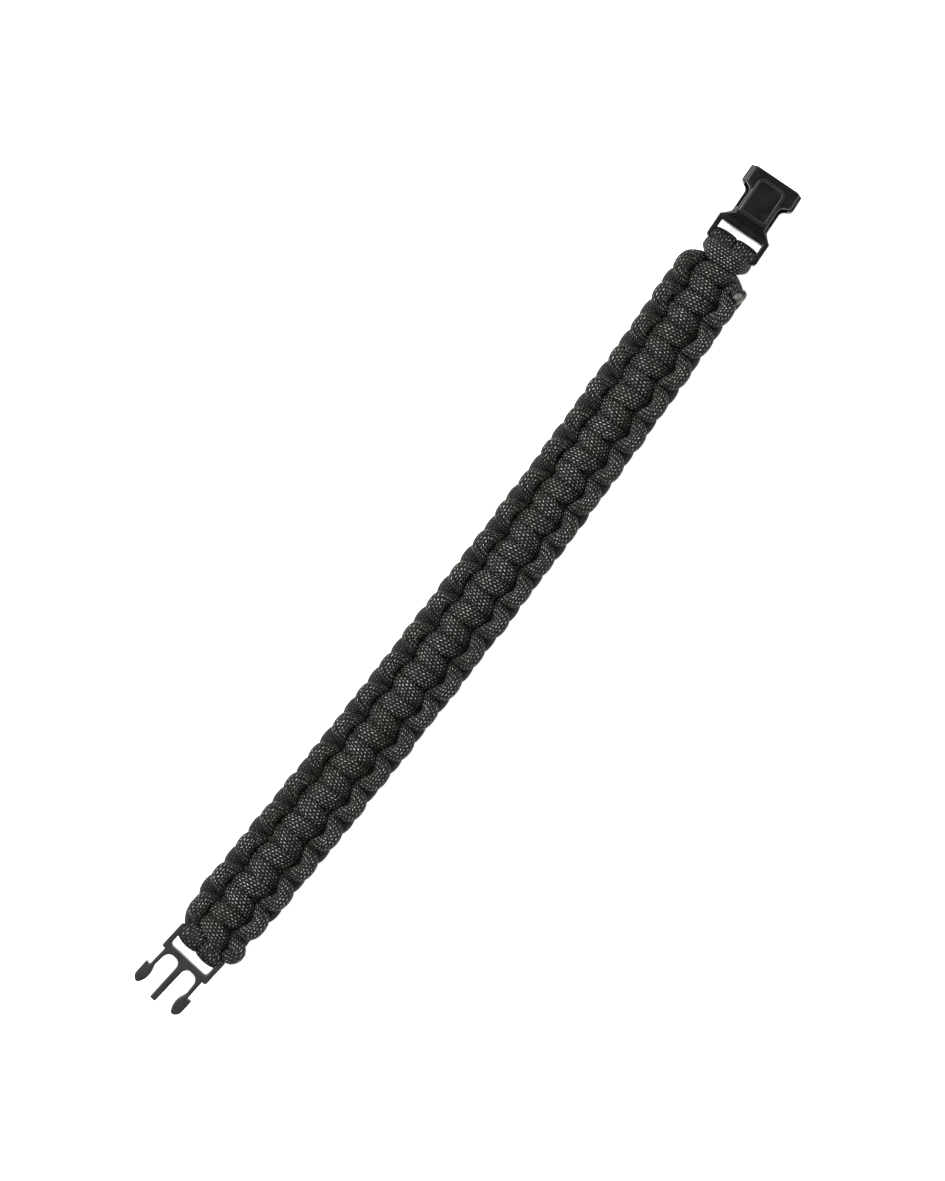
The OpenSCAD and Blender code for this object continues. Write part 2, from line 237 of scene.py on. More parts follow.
# hand tied: how far each edge loop is drawn in or out and moved along, a few first ones more
pulls = np.random.default_rng(band["seed"]).uniform(-1, 1, (2, band["bars"] + 1, 2))
pulls *= band["pull"], band["slide"]
pulls[0, 0] = 0.13, 0.03
pulls[0, 1, 0] = -0.22
pulls[1, 1, 0] = -0.30


def turnStations(rows, m, ahead, face):
    # a station is its place, width, thickness and the way the thickness faces;
    # out, up and the lean change sides with the turn's number
    side = (-1 if m % 2 == 0 else 1) * face
    x = -lastBar + (m + 0.5) * pitch + (1 if ahead else -1) * rows[:, 0] * pitch
    loop = np.clip(band["loop"][0] - band["loop"][1] * rows[:, 0], 0, 1)
    pull, slide = pulls[(face + 1) // 2, m + 1]
    x = x + loop * slide * pitch
    lean = np.radians(rows[:, 5])
    return np.stack([
        x, side * (rows[:, 1] + loop * pull) * cord, face * rows[:, 2] * cord,
        rows[:, 3] * pitch, rows[:, 4] * cord,
        0 * x, side * np.cos(lean), face * np.sin(lean)], 1)


def endStations(rows, at, out, side):
    # the rows by a buckle bar, in cords outwards from it
    scale = np.array([out * cord, side * cord, cord, cord, cord, out, side, 1])
    return rows * scale + np.array([at, 0, 0, 0, 0, 0, 0, 0])


def wrapStations(at, out, side):
    # round a bar at equal steps: place = radius * (cos, sin) of the angle; the straight line
    # from one station to the next clears the bar as well, so the radius is divided by cos(step / 2)
    lobeWide = (band["slotWide"] / 2 - 2 * band["gap"]) / band["lobeShare"]
    angle = np.radians(band["wrapStart"] - band["wrapStep"] * np.arange(len(wrapRows)))
    thick = wrapRows[:, 2] * (band["wrapThick"] * cord)
    least = (band["barRadius"] + 2 * band["gap"]) / math.cos(math.radians(band["wrapStep"] / 2))
    r = least + band["wrapMiddle"] * thick
    c, s = np.cos(angle), np.sin(angle)
    return np.stack([
        at + out * r * c, side * wrapRows[:, 0] * band["slotWide"] / 4, r * s,
        wrapRows[:, 1] * lobeWide, thick, out * c, 0 * c, s], 1)


def workingStrand(face, start, endStation):
    # face is 1 for the front strand and -1 for the back strand; turn m lies after crossing m
    last = band["bars"] - 1
    parts = [endStations(start, -band["plugBar"], -1, face),
             turnStations(turnRows[2 if face > 0 else 1:], -1, True, face)]
    for m in range(last):
        onMinusY = (face < 0) == (m % 2 > 0)
        if onMinusY or m == last - 1:
            rows = turnRows
        else:
            rows = archRows if face < 0 else closingRows
        parts += [turnStations(rows[-2:0:-1], m, False, face), turnStations(rows, m, True, face)]
    return np.vstack(parts + [turnStations(turnRows[-2:2:-1], last, False, face), endStation])


def coreHalf(side):
    # one cord of the core, pressed wide inside the band to fill what the loops leave free
    x = np.array([-1, -0.96, -0.92, -0.5, 0, 0.5, 0.92, 0.96, 1]) * (lastBar - 0.2 * pitch)
    fill = np.array([0, 0.5, 1, 1, 1, 1, 1, 0.5, 0])
    one = np.ones_like(x)
    run = np.stack([
        x, side * (0.4 + 0.16 * fill) * cord, 0 * x,
        (0.8 + 0.3 * fill) * cord, 0.8 * cord * one, 0 * x, 0 * x, one], 1)
    return np.vstack([
        wrapStations(-band["plugBar"], -1, side)[::-1],
        endStations(coreRise, -band["plugBar"], -1, side)[::-1],
        run,
        endStations(loopRise, band["socketBar"], 1, side),
        wrapStations(band["socketBar"], 1, side),
        endStations(loopBack, band["socketBar"], 1, side)])


# the strands' last stations, and the core's middle over the socket's bar
frontEnd = np.array([[
    lastBar - 0.06 * cord, 1.56 * cord, -0.70 * cord, 0.7 * pitch, 0.84 * cord, 0, 1, 0]])
backEnd = np.array([[
    lastBar - 0.44 * cord, -2.02 * cord, 0.46 * cord, 0.62 * pitch, 0.72 * cord, 0, -0.5, 1]])
loopMiddle = np.array([[
    band["socketBar"] - 0.85 * cord, 0, 0.88 * cord, 1.2 * cord, 0.6 * cord, 0, 0, 1]])
frontPath = workingStrand(1, frontStart, frontEnd)
backPath = workingStrand(-1, backStart, backEnd)
# the last crossing is drawn closer to the ones before it, by this many millimetres
for path, closer in ((frontPath, 0.8), (backPath, 0.3)):
    path[:, 0] -= closer * np.clip((path[:, 0] - lastBar + 1.5 * pitch) / (1.5 * pitch), 0, 1)
# the whole cord in one line: back strand, first core cord, loop, second core cord, front strand
stations = np.vstack([backPath[::-1], coreHalf(-1), loopMiddle, coreHalf(1)[::-1], frontPath])
# the stations where one strand's piece ends and the next one's begins
backMeet = len(backPath) - 2
frontMeet = len(stations) - len(frontPath) + 1


def splineThrough(knots, values):
    # natural cubic spline: its second derivatives solve the three-banded system of smooth joins
    n, h = len(knots), np.diff(knots)[:, None]
    system = np.eye(n)
    i = np.arange(1, n - 1)
    system[i, i - 1] = h[:-1, 0]
    system[i, i] = 2 * (h[:-1, 0] + h[1:, 0])
    system[i, i + 1] = h[1:, 0]
    right = np.zeros_like(values)
    right[1:-1] = 6 * np.diff(np.diff(values, axis=0) / h, axis=0)
    second = np.linalg.solve(system, right)

    def at(x):
        k = np.clip(np.searchsorted(knots, x, side="right") - 1, 0, n - 2)
        b = ((x - knots[k]) / h[k, 0])[:, None]
        a = 1 - b
        return (a * values[k] + b * values[k + 1]
                + ((a ** 3 - a) * second[k] + (b ** 3 - b) * second[k + 1]) * h[k] ** 2 / 6)
    return at


knots = np.concatenate([[0], np.cumsum(np.linalg.norm(np.diff(stations[:, :3], axis=0), axis=1))])
route = splineThrough(knots, stations)
fine = np.unique(np.concatenate([np.linspace(a, b, 9) for a, b in zip(knots[:-1], knots[1:])]))
fineAlong = np.concatenate([[0], np.cumsum(np.linalg.norm(np.diff(route(fine)[:, :3], axis=0), axis=1))])
meets = np.interp(knots[[backMeet, frontMeet]], fine, fineAlong)
print("cord lengths in mm: back", round(meets[0], 1), "core", round(meets[1] - meets[0], 1),
      "front", round(fineAlong[-1] - meets[1], 1))

fit = {
    "wider": 1.12,       # the plain sections grow by this until the cords press on each other
    "thicker": 1.07,
    "squareness": 2.22,  # exponent of the sections
    "squarer": 0.5,      # added to it in the turns round the socket's bar
    "rounder": -0.25,    # and round the plug's
    "own": 5.5,          # stretches nearer than this along the cord don't press on each other
    "near": 96,          # sections looked at round each ring
    "film": -0.02,       # cords pressed on each other share a hair's breadth, so no light comes through
    "soft": 18,          # how sharply a round side turns into a pressed one
    "atOnce": 128,       # rings worked on together
    "halvings": 12,      # steps of the search for a point's share of its plain section
    "most": 1.6,         # the largest and the least share
    "least": 0.05,
    "along": 0.6,        # a stretch presses at full size this far along itself
    "barClear": 0.04,
    "sides": 32,         # points round a ring
    "ring": 0.42,        # from one ring to the next
    "joint": 0.05,       # half the gap between two strands, hidden in the braid
    "floor": 0.02,       # the lowest cords are pressed flat at this height
    "floorSoft": 0.1,    # how softly they bend into it
}


def sections(along):
    # centre, width way, thickness way, tangent and half sizes of the cord at lengths along it
    t = np.interp(along, fineAlong, fine)
    here = route(t)
    ahead = unit(route(t + 0.05)[:, :3] - route(t - 0.05)[:, :3])
    up = here[:, 5:8]
    up = unit(up - (up * ahead).sum(1, keepdims=True) * ahead)
    wide, thick = here[:, 3:4] / 2 * fit["wider"], here[:, 4:5] / 2 * fit["thicker"]
    return here[:, :3], np.cross(up, ahead), up, ahead, wide, thick


# a section for every millimetre of cord, for the rings to be pressed against
cloud = np.arange(0.5, fineAlong[-1], 1.0)
cloudPlace, cloudSide, cloudUp, cloudAhead, cloudWide, cloudThick = sections(cloud)


def pressed(along):
    # rings of the cord: an ellipse-like section, each point drawn back to where the nearest
    # other stretch is as near as its own centre line, both measured in their own half sizes
    centre, side, up, ahead, wide, thick = sections(along)
    angle = np.arange(fit["sides"]) * 2 * np.pi / fit["sides"]
    c, s = np.cos(angle), np.sin(angle)
    # 0 in the braid, 1 from 4 mm past its last crossing on
    atBars = np.clip((np.abs(centre[:, :1]) - lastBar - 1.5) / 2.5, 0, 1)
    power = fit["squareness"] + atBars * np.where(centre[:, :1] > 0, fit["squarer"], fit["rounder"])
    plain = (np.abs(c) ** power + np.abs(s) ** power) ** (-1 / power)
    c, s = c[None, :, None], s[None, :, None]
    ways = wide[:, :, None] * side[:, None] * c + thick[:, :, None] * up[:, None] * s
    share = np.empty(ways.shape[:2])
    for first in range(0, len(along), fit["atOnce"]):
        part = slice(first, first + fit["atOnce"])
        away = np.linalg.norm(centre[part, None] - cloudPlace[None], axis=2)
        away[np.abs(along[part, None] - cloud[None]) < fit["own"]] = 1e3  # too far to be looked at
        near = np.argpartition(away, fit["near"], axis=1)[:, :fit["near"]]
        start = centre[part, None] - cloudPlace[near]
        axes = (cloudSide[near] / cloudWide[near], cloudUp[near] / cloudThick[near], cloudAhead[near])
        fixed = [(start * a).sum(2)[:, None] for a in axes]
        moving = [np.einsum("rnc,rkc->rnk", ways[part], a) for a in axes]
        low = np.zeros(ways[part].shape[:2])
        high = np.full_like(low, fit["most"])
        for halving in range(fit["halvings"]):
            mid = (low + high) / 2
            a, b, t = (f + mid[:, :, None] * m for f, m in zip(fixed, moving))
            past = np.clip(np.abs(t) - fit["along"], 0, None)
            free = np.sqrt((a * a + b * b + past ** 2).min(2)) > mid
            low, high = np.where(free, mid, low), np.where(free, high, mid)
        share[part] = low
    # the lesser of the plain and the pressed share, softly: (plain^-n + pressed^-n)^(-1 / n)
    share = np.maximum(share, fit["least"])
    share = (plain ** -fit["soft"] + share ** -fit["soft"]) ** (-1 / fit["soft"])
    share -= fit["film"] / np.linalg.norm(ways, axis=2)
    return centre[:, None] + ways * share[:, :, None]


def settled(p):
    # the unbent band to its place: a buckle half turns its end, then the line bows
    far = np.where(p[..., 0] < 0, -band["plugBar"], band["socketBar"])
    most = np.radians(np.where(p[..., 0] < 0, -band["plugTurn"], band["socketTurn"]))
    t = np.clip((np.abs(p[..., 0]) - lastBar) / (np.abs(far) - lastBar), 0, 1)
    a = most * t * t * (3 - 2 * t)
    dx, y = p[..., 0] - far, p[..., 1]
    x, y = far + dx * np.cos(a) - y * np.sin(a), dx * np.sin(a) + y * np.cos(a)
    slope, r = x / bowRadius, bowRadius - y
    placed = np.stack([r * np.sin(slope), bowRadius - r * np.cos(slope), p[..., 2]], -1)
    return placed + np.array(band["shift"])


def clearOfBars(p):
    # nothing enters the two buckle bars
    least = band["barRadius"] + fit["barClear"]
    for at in (-band["plugBar"], band["socketBar"]):
        inside = np.abs(p[..., 1]) < band["slotWide"] / 2 + 1
        dx, z = p[..., 0] - at, p[..., 2]
        r = np.hypot(dx, z)
        push = np.where(inside & (r < least), least / np.maximum(r, 1e-6), 1)
        p = np.stack([at + dx * push, p[..., 1], z * push], -1)
    return p


# The braided sheath: its pattern counts columns round the cord and picks along it

sheath = {
    "columns": 18,
    "pick": 0.84,
    "yarn": "#070707",
    "paintedShade": "#020202",    # painted shade down between the yarns
    # the painted highlight's colour, on each float's crown
    "paintedHighlight": "#cccbc7",
    "tingedHighlight": "#b3b195",    # the painted highlight's faint olive tinge in patches
    "patch": 7.0,
    "wander": 0.16,        # room that a glint has round the float's crown
    "oval": (17.4, 20.7),  # the glint's narrowness across and along
    "edge": 1.2,           # exponent of its fading edge
    "bright": (0.2, 0.72, 1.4),       # least brightness, range, and the exponent of chance
    "paintedShadeByHeight": (0.8, 5.0, 0.2, 1.25),    # painted shade: from and to this height off the band's middle, the painted highlights' share
    "relief": 0.16,
    "roughness": 0.6,
}


def sheathMaterial():
    # nylon yarns, braided: each column's floats lean the other way than its neighbours' do,
    # dull black with painted shade down between the floats and a painted grey highlight near the crown of
    # each float
    mat = newMaterial("braided nylon sheath")
    tree = mat.node_tree

    def calc(operation, a, b=0.0, c=0.0):
        return addNode(tree, "ShaderNodeMath", {"operation": operation}, i0=a, i1=b, i2=c).outputs[0]

    uv = addNode(tree, "ShaderNodeUVMap", {"uv_map": "sheath"})
    split = addNode(tree, "ShaderNodeSeparateXYZ", Vector=uv.outputs[0])
    across, along = split.outputs[0], split.outputs[1]
    # the float that a point lies in, and where in it, from -0.5 to 0.5 both ways
    column = calc("FLOOR", across)
    sideways = calc("SUBTRACT", calc("FRACT", across), 0.5)
    odd = calc("FLOORED_MODULO", column, 2.0)
    lean = calc("SUBTRACT", 1.0, calc("MULTIPLY", odd, 2.0))
    level = calc("SUBTRACT", along, calc("MULTIPLY", lean, sideways))
    level = calc("ADD", level, calc("MULTIPLY_ADD", odd, -0.5, 0.25))
    lengthways = calc("SUBTRACT", calc("FRACT", level), 0.5)
    # a float's height: sqrt(1 - 3.7 lengthways^2) * (1 - |1.75 sideways|^2.4)
    back = calc("MULTIPLY_ADD", calc("MULTIPLY", lengthways, lengthways), -3.7, 1.0)
    back = calc("SQRT", calc("MAXIMUM", back, 0.0))
    ends = calc("SUBTRACT", 1.0, calc("POWER", calc("MULTIPLY", calc("ABSOLUTE", sideways), 1.75), 2.4))
    height = calc("MULTIPLY", back, calc("MAXIMUM", ends, 0.0))
    own = addNode(tree, "ShaderNodeCombineXYZ", X=column, Y=calc("FLOOR", level))
    chance = addNode(tree, "ShaderNodeTexWhiteNoise", {"noise_dimensions": "2D"}, Vector=own.outputs[0])
    stray = addNode(tree, "ShaderNodeSeparateXYZ", Vector=chance.outputs[1])
    # painted shade: the painted highlights are dimmed near the band's middle height, where the cord lies
    # deep between the loops, and stronger on the outer faces
    place = addNode(tree, "ShaderNodeTexCoord").outputs["Object"]
    up = addNode(tree, "ShaderNodeSeparateXYZ", Vector=place).outputs[2]
    fromMiddle = calc("ABSOLUTE", calc("SUBTRACT", up, band["shift"][2] * mm))
    near, far, least, most = sheath["paintedShadeByHeight"]
    paintedShadeByHeight = remapped(tree, fromMiddle, near * mm, far * mm, least, most)
    # the glint is a painted highlight, an oval that strays from the crown: (1 - a x^2 - b y^2)^edge,
    # times its share by height, which paints shade deep in the band, times a brightness by chance
    wander, (ovalAcross, ovalAlong) = sheath["wander"], sheath["oval"]
    x = calc("ADD", sideways, calc("MULTIPLY_ADD", stray.outputs[0], wander, -wander / 2))
    y = calc("ADD", lengthways, calc("MULTIPLY_ADD", stray.outputs[1], wander, -wander / 2))
    oval = calc("MULTIPLY_ADD", calc("MULTIPLY", x, x), -ovalAcross, 1.0)
    oval = calc("SUBTRACT", oval, calc("MULTIPLY", calc("MULTIPLY", y, y), ovalAlong))
    glint = calc("MULTIPLY", calc("POWER", calc("MAXIMUM", oval, 0.0), sheath["edge"]), paintedShadeByHeight)
    dim, extra, exponent = sheath["bright"]
    bright = calc("MULTIPLY_ADD", calc("POWER", stray.outputs[2], exponent), extra, dim)
    glint = calc("MULTIPLY", glint, bright)
    # painted shade: the yarn's colour goes darker where the floats are low, down between them
    lit = calc("MINIMUM", calc("MULTIPLY", height, 1.2), 1.0)
    yarn = mixed(tree, lit, sheath["paintedShade"], sheath["yarn"])
    patches = addNode(tree, "ShaderNodeTexNoise", Vector=place, Scale=1 / (sheath["patch"] * mm), Detail=1.0)
    paintedHighlight = mixed(tree, remapped(tree, patches.outputs[0], 0.45, 0.7), sheath["paintedHighlight"], sheath["tingedHighlight"])
    colour = mixed(tree, calc("MINIMUM", glint, 1.0), yarn, paintedHighlight)
    bump = addNode(tree, "ShaderNodeBump", i0=1.0, i1=sheath["relief"] * mm, Height=height)
    addSurface(tree, Base_Color=colour, Normal=bump.outputs[0], Roughness=sheath["roughness"],
               IOR=1.4, Specular_IOR_Level=0.3)
    return mat


def sweptCord(name, rings, along, material):
    # rings of points joined into a tube; across counts columns round it, picks count along it
    k, n = rings.shape[:2]
    quads = ringFaces(k, n)
    first, last = endFans(k, n)
    step = np.linalg.norm(np.roll(rings, -1, axis=1) - rings, axis=2)
    across = np.concatenate([np.zeros((k, 1)), np.cumsum(step, axis=1)], 1)
    across *= sheath["columns"] / across[:, -1:]
    picks = along / sheath["pick"]
    i, j = np.divmod(quads[:, 0], n)
    uv = np.stack([np.stack([across[a, b], picks[a]], 1)
                   for a, b in ((i, j), (i, j + 1), (i + 1, j + 1), (i + 1, j))], 1)
    verts = np.vstack([rings.reshape(-1, 3), rings[0].mean(0), rings[-1].mean(0)])
    column = np.arange(n)
    capUv = np.stack([np.stack([(column + more) * sheath["columns"] / n, 0 * column + inward], 1)
                      for more, inward in ((0, 0), (1, 0), (0.5, 1))], 1)
    corners = verts[quads]
    spread = np.cross(corners[:, 2] - corners[:, 0], corners[:, 3] - corners[:, 1])
    fromMiddle = corners.mean(1) - rings.mean(1)[i]
    if (spread * fromMiddle).sum() < 0:
        quads, uv = quads[:, ::-1], uv[:, ::-1]
        first, last, capUv = first[:, ::-1], last[:, ::-1], capUv[:, ::-1]
    faces = quads.tolist() + first.tolist() + last.tolist()
    allUv = np.vstack([part.reshape(-1, 2) for part in (uv, capUv, capUv)])
    return addPiece(name, verts, faces, material, allUv)


cordSheath = sheathMaterial()
strands = {
    "backStrand": (0.0, meets[0] - fit["joint"], "back_strand"),
    "coreStrand": (meets[0] + fit["joint"], meets[1] - fit["joint"], "core_strand"),
    "frontStrand": (meets[1] + fit["joint"], fineAlong[-1], "front_strand"),
}
for name, (start, stop, node) in strands.items():
    along = np.linspace(start, stop, int((stop - start) / fit["ring"]) + 1)
    if name == "coreStrand":  # hidden in the braid, so every other ring is enough there
        x = np.abs(route(np.interp(along, fineAlong, fine))[:, 0])
        keep = (x > lastBar - 2 * pitch) | (np.arange(len(along)) % 2 == 0)
        along = along[keep]
    rings = settled(clearOfBars(pressed(along)))
    # pressed flat on the floor: z becomes (z + sqrt(z^2 + soft^2)) / 2, from the floor's height up
    z = rings[..., 2] - fit["floor"]
    rings[..., 2] = fit["floor"] + 0.5 * (z + np.sqrt(z * z + fit["floorSoft"] ** 2))
    piece = sweptCord(name, rings, along, cordSheath)
    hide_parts(node)
    print(name, len(along), "rings", 2 * len(along) * fit["sides"], "triangles")


# The buckle halves, drawn with the bar on the Y axis and the far end towards +X

buckle = {
    "slotWide": band["slotWide"], "barRadius": band["barRadius"],
    "legWide": 1.45, "frameThick": 3.0, "frameEnd": 0.8,
    "slotFar": 4.96,       # from the bar to the slot's far side
    "crossWide": 1.6, "armLong": 11.1, "stemWide": 1.0, "barbLong": 5.8, "barbWide": 3.25, "hook": 1.2,
    "barbPast": 0.25, "prongLong": 11.35, "prongWide": 1.65, "armThick": 2.6,
    "bodyThick": 5.6, "wall": 1.1, "bodyLong": 15.0, "waistWide": 10.3, "earLong": 5.6, "earWide": 15.0,
    "shoulder": 0.6,       # from the slot to where the socket's body narrows, over a length of flare
    "flare": 2.1,
    "backWall": 4.2,       # from the slot to the end of the hollow
    "guideOut": 1.575, "guideHalf": 0.35,
    "panelNear": 3.3, "panelFar": 1.9, "panelWide": 7.6, "panelUp": 0.3,
    "rim": 0.5,            # round the shallow dish in the panel
    "dishDeep": 0.16,
    "lip": 0.45,           # thin nose of the socket's body, reaching into the slot
    "nose": 0.5, "mouthRound": 0.35,
    "ledge": 0.8,          # the upper shell is this much narrower than the lower one
    "ledgeTop": 0.9,
    "edge": 0.28,          # rounding of the moulding's edges
    "sharp": 32,           # edges that turn by more degrees stay sharp in the shading
}
frameWide = buckle["slotWide"] + 2 * buckle["legWide"]
crossFar = buckle["slotFar"] + buckle["crossWide"]
bodyFar = buckle["slotFar"] + buckle["bodyLong"]


def outline(rows, steps=7):
    # corners of x, y, radius: each corner's arc is turned evenly from one side to the next
    rows = np.array(rows, float)
    p, r = rows[:, :2], rows[:, 2]
    toBefore, toAfter = unit(np.roll(p, 1, axis=0) - p), unit(np.roll(p, -1, axis=0) - p)
    half = np.arccos(np.clip((toBefore * toAfter).sum(1), -1, 1)) / 2
    points = []
    t = np.linspace(0, 1, steps + 1)[:, None]
    for corner, before, after, radius, angle in zip(p, toBefore, toAfter, r, half):
        if radius == 0:
            points.append(corner[None])
            continue
        middle = corner + unit(before + after) * radius / math.sin(angle)
        back = radius / math.tan(angle)
        a, b = corner + back * before - middle, corner + back * after - middle
        sweep = math.pi - 2 * angle
        points.append(middle + (np.sin((1 - t) * sweep) * a + np.sin(t * sweep) * b) / math.sin(sweep))
    points = np.vstack(points)
    x, y = points.T
    area = (x * np.roll(y, -1) - y * np.roll(x, -1)).sum()
    return points if area > 0 else points[::-1]


def roundedSlab(name, rows, low, high, edge, steps=4):
    # an outline stood up between two heights; near both faces it's drawn in along its mitres
    # by edge * (1 - sin t) while the height goes by edge * (1 - cos t)
    points = outline(rows)
    ahead = unit(np.roll(points, -1, axis=0) - points)
    out = np.stack([ahead[:, 1], -ahead[:, 0]], 1)
    before = np.roll(out, 1, axis=0)
    mitre = (out + before) / (1 + (out * before).sum(1))[:, None]
    t = np.linspace(0, math.pi / 2, steps + 1)
    inset = np.concatenate([1 - np.sin(t), 1 - np.sin(t[::-1])]) * edge
    height = np.concatenate([low + edge * (1 - np.cos(t)), high - edge * (1 - np.cos(t[::-1]))])
    flat = points[None] - inset[:, None, None] * mitre[None]
    return closedTube(name, np.dstack([flat, np.broadcast_to(height[:, None, None], (*flat.shape[:2], 1))]))


def slotBar(sides=32):
    # the round bar that the cord is wrapped on, from the middle of one leg to the other's
    a = np.arange(sides) * 2 * np.pi / sides
    x, z = buckle["barRadius"] * np.cos(a), buckle["barRadius"] * np.sin(a)
    half = (buckle["slotWide"] + buckle["legWide"]) / 2
    return closedTube("bar", np.stack([np.stack([x, 0 * a + y, z], 1) for y in (-half, half)]))


def outward(obj):
    # faces turned outwards, and those with many corners cut into triangles
    b = bmesh.new()
    b.from_mesh(obj.data)
    bmesh.ops.remove_doubles(b, verts=b.verts, dist=1e-7)
    bmesh.ops.recalc_face_normals(b, faces=b.faces)
    bmesh.ops.triangulate(b, faces=[f for f in b.faces if len(f.verts) > 4], ngon_method="EAR_CLIP")
    b.to_mesh(obj.data)
    b.free()
    return obj


def fused(name, parts, cuts=()):
    # one closed skin: the parts joined, then the cuts taken out
    whole = outward(parts[0])
    for tool, way in [(t, "UNION") for t in parts[1:]] + [(t, "DIFFERENCE") for t in cuts]:
        mod = whole.modifiers.new("fuse", "BOOLEAN")
        mod.operation = way
        mod.solver = "MANIFOLD"
        mod.object = outward(tool)
    bpy.context.view_layer.update()
    seen = whole.evaluated_get(bpy.context.evaluated_depsgraph_get())
    me = bpy.data.meshes.new_from_object(seen)
    for tool in [*parts, *cuts]:
        bpy.data.objects.remove(tool)
    me.name = name
    b = bmesh.new()
    b.from_mesh(me)
    bmesh.ops.triangulate(b, faces=b.faces)
    b.to_mesh(me)
    b.free()
    return me


def buckleHalf(name, me, x, turn, mirrored, material):
    # to its place: mirrored if it's the plug, turned by its own turn and the band's slope
    p = np.empty(len(me.vertices) * 3)
    me.vertices.foreach_get("co", p)
    p = p.reshape(-1, 3)
    if mirrored:
        p[:, 0] *= -1
        me.flip_normals()
    slope = x / bowRadius
    a = slope + math.radians(turn)
    c, s = math.cos(a), math.sin(a)
    at = np.array([bowRadius * math.sin(slope), bowRadius * (1 - math.cos(slope)), 0])
    at += band["shift"]
    p = np.stack([p[:, 0] * c - p[:, 1] * s, p[:, 0] * s + p[:, 1] * c, p[:, 2]], 1) + at
    me.vertices.foreach_set("co", (p * mm).ravel())
    me.materials.clear()  # the fused mesh has an empty slot, and its faces use it
    me.materials.append(material)
    me.polygons.foreach_set("use_smooth", np.ones(len(me.polygons), bool))
    me.set_sharp_from_angle(angle=math.radians(buckle["sharp"]))
    me.update()
    obj = addObject(name, me)
    flat = obj.modifiers.new("flat faces stay flat", "WEIGHTED_NORMAL")
    flat.keep_sharp = True
    flat.weight = 100
    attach(obj, "root")
    return obj


def plugHalf(material):
    # every outline's rows are x, y and the corner's radius
    b = buckle
    half, outer = b["slotWide"] / 2, frameWide / 2
    frameRows = [
        (-b["frameEnd"], half, 0.3), (-b["frameEnd"], outer, 0.5), (crossFar, outer, 0.7),
        (crossFar, -outer, 0.7), (-b["frameEnd"], -outer, 0.5), (-b["frameEnd"], -half, 0.3),
        (b["slotFar"], -half, 0.9), (b["slotFar"], half, 0.9)]
    barbOut = outer + b["barbPast"]
    stemOut = barbOut - b["hook"]
    stemIn = stemOut - b["stemWide"]
    barbIn = barbOut - b["barbWide"]
    nose = crossFar + b["armLong"]
    long, wide = b["barbLong"], b["barbWide"]
    heel = nose - long
    root = crossFar - b["crossWide"] / 2
    arm = [
        (crossFar, stemIn - 0.4, 2.0), (heel - 0.5, stemIn - 0.1, 2.4),
        (heel + 0.5 * long, barbIn - 0.2, 4.8), (nose, barbOut - 0.56 * wide, 0.8),
        (heel + 0.8 * long, barbOut, 2.1), (heel, barbOut, 0.3),
        (heel + 0.25, stemOut, 0.15), (crossFar, stemOut - 0.1, 0), (root, stemOut - 0.1, 0)]
    tip = crossFar + b["prongLong"]
    prongHalf = b["prongWide"] / 2
    prong = [
        (crossFar, -prongHalf - 0.1, 1.7), (tip, -prongHalf, 0.3),
        (tip, prongHalf, 0.3), (crossFar, prongHalf + 0.1, 1.7)]
    armRows = [(x, -y, r) for x, y, r in arm[::-1]] + prong + arm
    frameUp, armUp = b["frameThick"] / 2, b["armThick"] / 2
    me = fused("plug half", [
        roundedSlab("frame", frameRows, -frameUp, frameUp, b["edge"]),
        roundedSlab("arms", armRows, -armUp, armUp, b["edge"]), slotBar()])
    return buckleHalf("plugHalf", me, -band["plugBar"], -band["plugTurn"], True, material)


